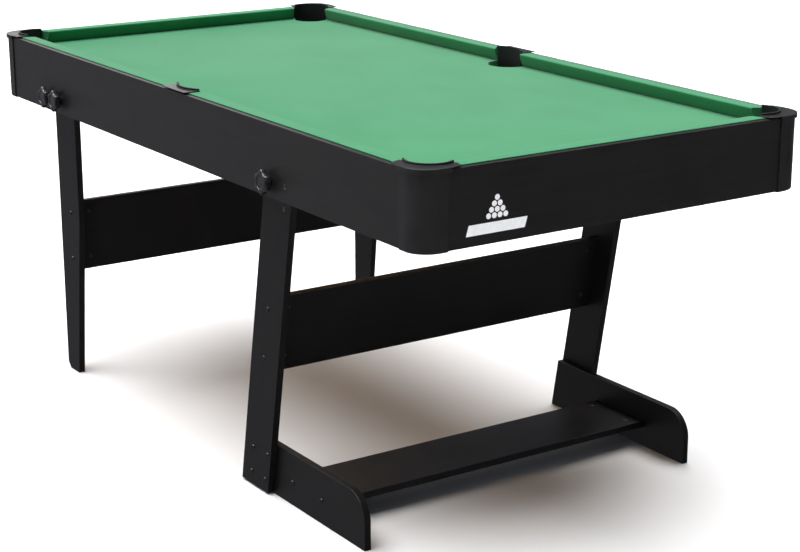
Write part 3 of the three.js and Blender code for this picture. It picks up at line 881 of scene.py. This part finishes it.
def knob_levels():
    """The knob's hub, lobed head and dished face, as (radius, distance from the apron)."""
    return [
        (0.0108, 0.0006),
        (0.0116, 0.0010),
        (0.0120, 0.0018),
        (0.0120, 0.0062),
        (0.0126, 0.0076),
        (0.0140, 0.0083),
        (lobed(0.84), 0.0084),
        (lobed(0.94), 0.0090),
        (lobed(0.985), 0.0102),
        (lobed(1.00), 0.0120),
        (lobed(1.00), 0.0172),
        (lobed(0.985), 0.0192),
        (lobed(0.94), 0.0206),
        (lobed(0.85), 0.0214),
        (0.0166, 0.0219),
        (0.0148, 0.0219),
        (0.0142, 0.0206),
        (0.0134, 0.0202),
        (0.0060, 0.0204),
    ]


def threaded_rod(bm, place, length, radius, pitch=0.00125):
    """A rod along local +Z with a cut thread."""
    sides, per_turn, depth, lead_in = 28, 6, 0.0007, 0.0015
    rows = int(length / pitch * per_turn)

    def reach(height):
        def at(angle):
            phase = (height / pitch - angle / (2 * math.pi)) % 1.0
            taper = min(1.0, height / lead_in, (length - height) / lead_in)
            return radius - depth * (1 - abs(2 * phase - 1)) - depth * (1 - taper)

        return at

    levels = [(reach(length * i / rows), length * i / rows) for i in range(rows + 1)]
    turned(bm, levels, sides, place)


def knob(at, joint, out):
    """The star knob at one place, and the threaded stud moulded into it."""
    body = joint["child"]
    bm = bmesh.new()
    turned(bm, knob_levels(), 144, facing(joint["pos_m"], out))
    piece(f"star_{at}", bm, KNOB_PLASTIC, body, [f"knob_{at}"], sharp=32)
    low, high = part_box(f"stud_{at}")
    inner = low.y if out.y > 0 else high.y
    start = Vector((joint["pos_m"][0], inner, joint["pos_m"][2]))
    bm = bmesh.new()
    threaded_rod(bm, facing(start, out), high.y - low.y, (high.x - low.x) / 2)
    piece(f"threaded_stud_{at}", bm, STEEL, body, [f"stud_{at}"], sharp=60)


def knobs():
    """Three knobs on each side of the table."""
    for label in ("front_pivot", "rear_pivot", "rear_lock"):
        for side, sign in SIDES.items():
            joint = JOINTS[f"{label}_knob_{side}_turn"]
            knob(f"{label}_{side}", joint, Vector((0, sign, 0)))


# ------------------------------------------------------------------ screws and inserts


def hexagon(across):
    """Radius of a hexagonal socket, by angle."""
    step = math.pi / 3
    return lambda a: across / 2 / math.cos((a % step) - step / 2)


def socket_screw(bm, place, radius=0.0047, height=0.0024):
    """A domed screw head with a hexagonal socket; local +Z points out of the board."""
    levels = [
        (radius, -0.001),
        (radius, 0.2 * height),
        (0.93 * radius, 0.55 * height),
        (0.78 * radius, 0.85 * height),
        (0.60 * radius, height),
        (hexagon(0.76 * radius), height),
        (hexagon(0.72 * radius), 0.15 * height),
    ]
    turned(bm, levels, 36, place)


def cross_dowel(bm, place, radius=0.005):
    """The end of a barrel nut let into a board, with a shallow hexagonal socket."""
    levels = [
        (radius, -0.002),
        (radius, 0.0001),
        (0.9 * radius, 0.0005),
        (0.45 * radius, 0.0005),
        (hexagon(0.7 * radius), 0.0004),
        (hexagon(0.6 * radius), -0.0008),
    ]
    turned(bm, levels, 36, place)


def threaded_insert(bm, place):
    """A flanged nut pressed into a leg round the stud."""
    levels = [
        (0.0098, -0.0008),
        (0.0098, 0.0006),
        (0.0092, 0.0012),
        (0.0064, 0.0013),
        (0.0060, 0.0020),
        (0.0047, 0.0020),
        (0.0044, 0.0014),
        (0.0044, -0.0006),
    ]
    turned(bm, levels, 36, place)


def hole_liner(bm, place):
    """A thin bush lining a hole of a spare position, set back from the face."""
    levels = [
        (0.0042, -0.0125),
        (0.0042, -0.0006),
        (0.0036, -0.0004),
        (0.0030, -0.0006),
        (0.0030, -0.0090),
    ]
    turned(bm, levels, 32, place)


def screws_on(name, body, spots, direction, make=socket_screw, material=SCREW_STEEL):
    """One piece holding a group of alike fasteners on one face."""
    bm = bmesh.new()
    for spot in spots:
        make(bm, facing(spot, direction))
    piece(name, bm, material, body, sharp=30)


def leaning(pivot, lean, along, across=0.0):
    """x and z of a spot on the leaning front leg, measured down from its pivot and across it."""
    x = pivot[0] - along * math.sin(lean) + across * math.cos(lean)
    z = pivot[2] - along * math.cos(lean) - across * math.sin(lean)
    return x, z


def front_crossboard_spots():
    """x and z of the screws into the front crossboard."""
    pivot = JOINTS["table_tilt"]["pos_m"]
    board_behind = -0.0095
    return [leaning(pivot, FRONT_LEG_LEAN, down, board_behind) for down in (0.288, 0.399)]


def frame_screws(side, sign):
    """Screws through the legs and foot of one side."""
    leg, out = sign * LEG_HIGH.y, (0, sign, 0)
    through_foot = [(0.2636, 0.0895), (0.3236, 0.0905), (0.2546, 0.0325), (0.311, 0.032)]
    spots = [(x, leg, z) for x, z in front_crossboard_spots() + through_foot]
    screws_on(f"front_leg_screws_{side}", "front_frame", spots, out)
    shelf_z = (SHELF_LOW.z + SHELF_HIGH.z) / 2
    spots = [(x, sign * FOOT_HIGH.y, shelf_z) for x in SHELF_SCREWS]
    screws_on(f"front_foot_screws_{side}", "front_frame", spots, out)
    board_x = (REAR_BOARD_LOW.x + REAR_BOARD_HIGH.x) / 2
    spots = [(board_x, leg, z) for z in REAR_SCREWS]
    screws_on(f"rear_leg_screws_{side}", "rear_frame", spots, out)


def barrel_nuts(side, sign):
    """The nuts in crossboards and shelf, a little way in from each board's end."""
    half_board = 0.0075
    y = sign * (FOOT_HIGH.y - NUT_INSET)
    normal = Vector((math.cos(FRONT_LEG_LEAN), 0, -math.sin(FRONT_LEG_LEAN)))
    spots = [Vector((x, y, z)) + half_board * normal for x, z in front_crossboard_spots()]
    screws_on(f"front_crossboard_nuts_{side}", "front_frame", spots, normal, cross_dowel)
    spots = [(x, sign * (SHELF_HIGH.y - NUT_INSET), SHELF_HIGH.z) for x in SHELF_SCREWS]
    screws_on(f"foot_shelf_nuts_{side}", "front_frame", spots, (0, 0, 1), cross_dowel)
    spots = [(REAR_BOARD_HIGH.x, y, z) for z in REAR_SCREWS]
    screws_on(f"rear_crossboard_nuts_{side}", "rear_frame", spots, (1, 0, 0), cross_dowel)


def inserts_and_bushes(side, sign):
    """Threaded inserts at the studs, and the bushed holes that meet when the table is upright."""
    leg, leg_inner = sign * LEG_HIGH.y, sign * LEG_LOW.y
    out, inwards = (0, sign, 0), (0, -sign, 0)
    insert, bush = (threaded_insert, INSERT_STEEL), (hole_liner, INSERT_STEEL)
    pivot = JOINTS["table_tilt"]["pos_m"]
    spots = [(pivot[0], leg_inner, pivot[2])]
    screws_on(f"front_insert_{side}", "front_frame", spots, inwards, *insert)
    x = pivot[0] + SPARE_HOLE_REACH * math.cos(UPRIGHT_ANGLE)
    z = pivot[2] - SPARE_HOLE_REACH * math.sin(UPRIGHT_ANGLE)
    screws_on(f"leg_hole_bush_{side}", "front_frame", [(x, leg, z)], out, *bush)
    spots = [(pivot[0] + SPARE_HOLE_REACH, sign * SIDE, pivot[2])]
    screws_on(f"apron_hole_bush_{side}", "cabinet", spots, out, *bush)
    rear = JOINTS["rear_legs_fold"]["pos_m"]
    lock = JOINTS[f"rear_lock_knob_{side}_turn"]["pos_m"]
    spots = [(rear[0], leg_inner, rear[2]), (lock[0], leg_inner, lock[2])]
    screws_on(f"rear_inserts_{side}", "rear_frame", spots, inwards, *insert)


def fasteners():
    """Screws, nuts, inserts and bushes on both sides of the table."""
    for side, sign in SIDES.items():
        frame_screws(side, sign)
        barrel_nuts(side, sign)
        inserts_and_bushes(side, sign)


def bed_screws():
    """Screws up through the beams and battens into the bed board."""
    along = {f"bed_beam_{i}": (0.08, 0.5, 0.92) for i in range(1, 5)}
    along.update({f"end_batten_{end}": (0.15, 0.5, 0.85) for end in ("front", "rear")})
    spots = []
    for node, shares in along.items():
        low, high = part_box(node)
        for share in shares:
            y = low.y + share * (high.y - low.y)
            spots.append(((low.x + high.x) / 2, y, low.z))
    screws_on("bed_screws", "cabinet", spots, (0, 0, -1))


# ------------------------------------------------------------------ emblem


def emblem():
    """A plain printed sign on the front apron: a triangle of dots over a slanted bar."""
    ink = 0.0001
    facing_front = Matrix(((0, 0, 1, 0), (1, 0, 0, 0), (0, 1, 0, 0), (0, 0, 0, 1)))
    place = Matrix.Translation((END, -0.2900, 0.6800)) @ facing_front
    bm = bmesh.new()
    width, height, slant = 0.136, 0.020, 0.006
    bar = [
        (-width / 2, 0),
        (width / 2 - slant, 0),
        (width / 2, height),
        (-width / 2 + slant, height),
    ]
    prism(bm, bar, 0.0, ink, place)
    pitch, radius, rows, first_row = 0.0126, 0.0053, 4, 0.0315
    for row in range(rows):
        y = first_row + row * pitch * math.sin(math.radians(60))
        for k in range(rows - row):
            x = (k - (rows - row - 1) / 2) * pitch
            prism(bm, arc(x, y, radius, 0, 348, 29), 0.0, ink, place)
    piece("front_emblem", bm, INK, "cabinet")


# ------------------------------------------------------------------ stage


def surround():
    """A dim studio surround, lighter and warmer round the left and rear of the table."""
    world = bpy.data.worlds.new("surround")
    world.use_nodes = True
    tree = world.node_tree
    background = tree.nodes["Background"]
    way = tree.nodes.new("ShaderNodeTexCoord").outputs["Generated"]
    lean = tree.nodes.new("ShaderNodeVectorMath")
    lean.operation = "DOT_PRODUCT"
    tree.links.new(way, lean.inputs[0])
    lean.inputs[1].default_value = Vector((-0.75, -0.66, 0.0)).normalized()
    fall = tree.nodes.new("ShaderNodeMapRange")
    fall.interpolation_type = "SMOOTHSTEP"
    tree.links.new(lean.outputs["Value"], fall.inputs["Value"])
    limits = {"From Min": -0.4, "From Max": 0.9, "To Min": 0.09, "To Max": 0.26}
    for socket, value in limits.items():
        fall.inputs[socket].default_value = value
    tint = tree.nodes.new("ShaderNodeMix")
    tint.data_type = "RGBA"
    tint.inputs[6].default_value = (0.86, 0.96, 1.14, 1.0)
    tint.inputs[7].default_value = (1.25, 0.98, 0.86, 1.0)
    tree.links.new(fall.outputs["Result"], tint.inputs[0])
    tree.links.new(tint.outputs[2], background.inputs["Color"])
    tree.links.new(fall.outputs["Result"], background.inputs["Strength"])
    bpy.context.scene.world = world


def lamp(name, kind, place, target, energy, tint=(1.0, 1.0, 1.0), **settings):
    """A light at place, aimed at target."""
    data = bpy.data.lights.new(name, kind)
    data.energy = energy
    data.color = tint
    for key, value in settings.items():
        setattr(data, key, value)
    made = bpy.data.objects.new(name, data)
    made.location = place
    aim = Vector(target) - Vector(place)
    made.rotation_euler = aim.to_track_quat("-Z", "Y").to_euler()
    bpy.context.scene.collection.objects.link(made)


def backdrop(reach):
    """A pale wall far behind everything, which neither lights the object nor shades it."""
    sides, foot, top = 48, -0.001, 16.0
    bm = bmesh.new()
    circle = arc(0, 0, reach, 0, 360, sides)[:-1]
    bridge(bm, [[bm.verts.new((x, y, z)) for x, y in circle] for z in (foot, top)])
    f = Finish("pale_wall", Base_Color=(0, 0, 0, 1), Specular_IOR_Level=0.0, Emission_Strength=1.0)
    tone = f.mixed(f.noise(f.coordinates(), 0.4, 2.0), (0.97, 0.97, 0.97), (1.0, 1.0, 1.0))
    wall = mesh_object("backdrop", bm, f.wire(Emission_Color=tone))
    wall.visible_diffuse = False
    wall.visible_glossy = False
    wall.visible_shadow = False


def studio():
    """Pale floor and backdrop, soft light from overhead and the left rear, and a dim surround."""
    reach = 30.0
    square = [(-reach, -reach), (reach, -reach), (reach, reach), (-reach, reach)]
    bm = as_prism(square, -0.02, -0.0005)
    f = Finish("pale_floor", Roughness=0.8, Specular_IOR_Level=0.1)
    tone = f.mixed(f.noise(f.coordinates(), 1.5, 2.0), (0.90, 0.90, 0.905), (0.92, 0.92, 0.92))
    floor = mesh_object("floor", bm, f.wire(Base_Color=tone))
    floor.visible_glossy = False
    backdrop(reach - 1)
    surround()
    wide = math.radians(68)
    lamp("overhead", "SUN", (-0.5, -0.2, 4.0), (0, 0, 0.7), 6.2, angle=wide)
    warm = (1.0, 0.95, 0.90)
    lamp("left_softbox", "AREA", (-3.4, -3.0, 1.7), (0, 0, 0.6), 10.0, warm, size=1.5)
    lamp("rear_panel", "AREA", (-2.5, 0.75, 1.5), (0.0, 0.0, 0.9), 6.0, size=1.2)


def camera():
    """The viewing angle of the photograph: from the front left, a little above the table."""
    azimuth, elevation, roll = map(math.radians, (56.43, 16.23, -0.10))
    data = bpy.data.cameras.new("camera")
    data.sensor_width = 36.0
    data.lens = 86.3
    cam = bpy.data.objects.new("camera", data)
    cam.location = (3.5757, -2.2599, 1.5597)
    level = math.cos(elevation)
    across, along = -math.sin(azimuth) * level, math.cos(azimuth) * level
    forward = Vector((across, along, -math.sin(elevation)))
    turn = forward.to_track_quat("-Z", "Y").to_matrix() @ Matrix.Rotation(roll, 3, "Z")
    cam.rotation_euler = turn.to_euler()
    bpy.context.scene.collection.objects.link(cam)
    bpy.context.scene.camera = cam


camera()
studio()
boards()
corner_posts()
bed_cloth()
cushions()
corner_caps()
side_caps()
corner_cups()
side_cups()
knobs()
fasteners()
bed_screws()
emblem()

bpy.context.scene.view_settings.view_transform = "Standard"
bpy.context.view_layer.update()
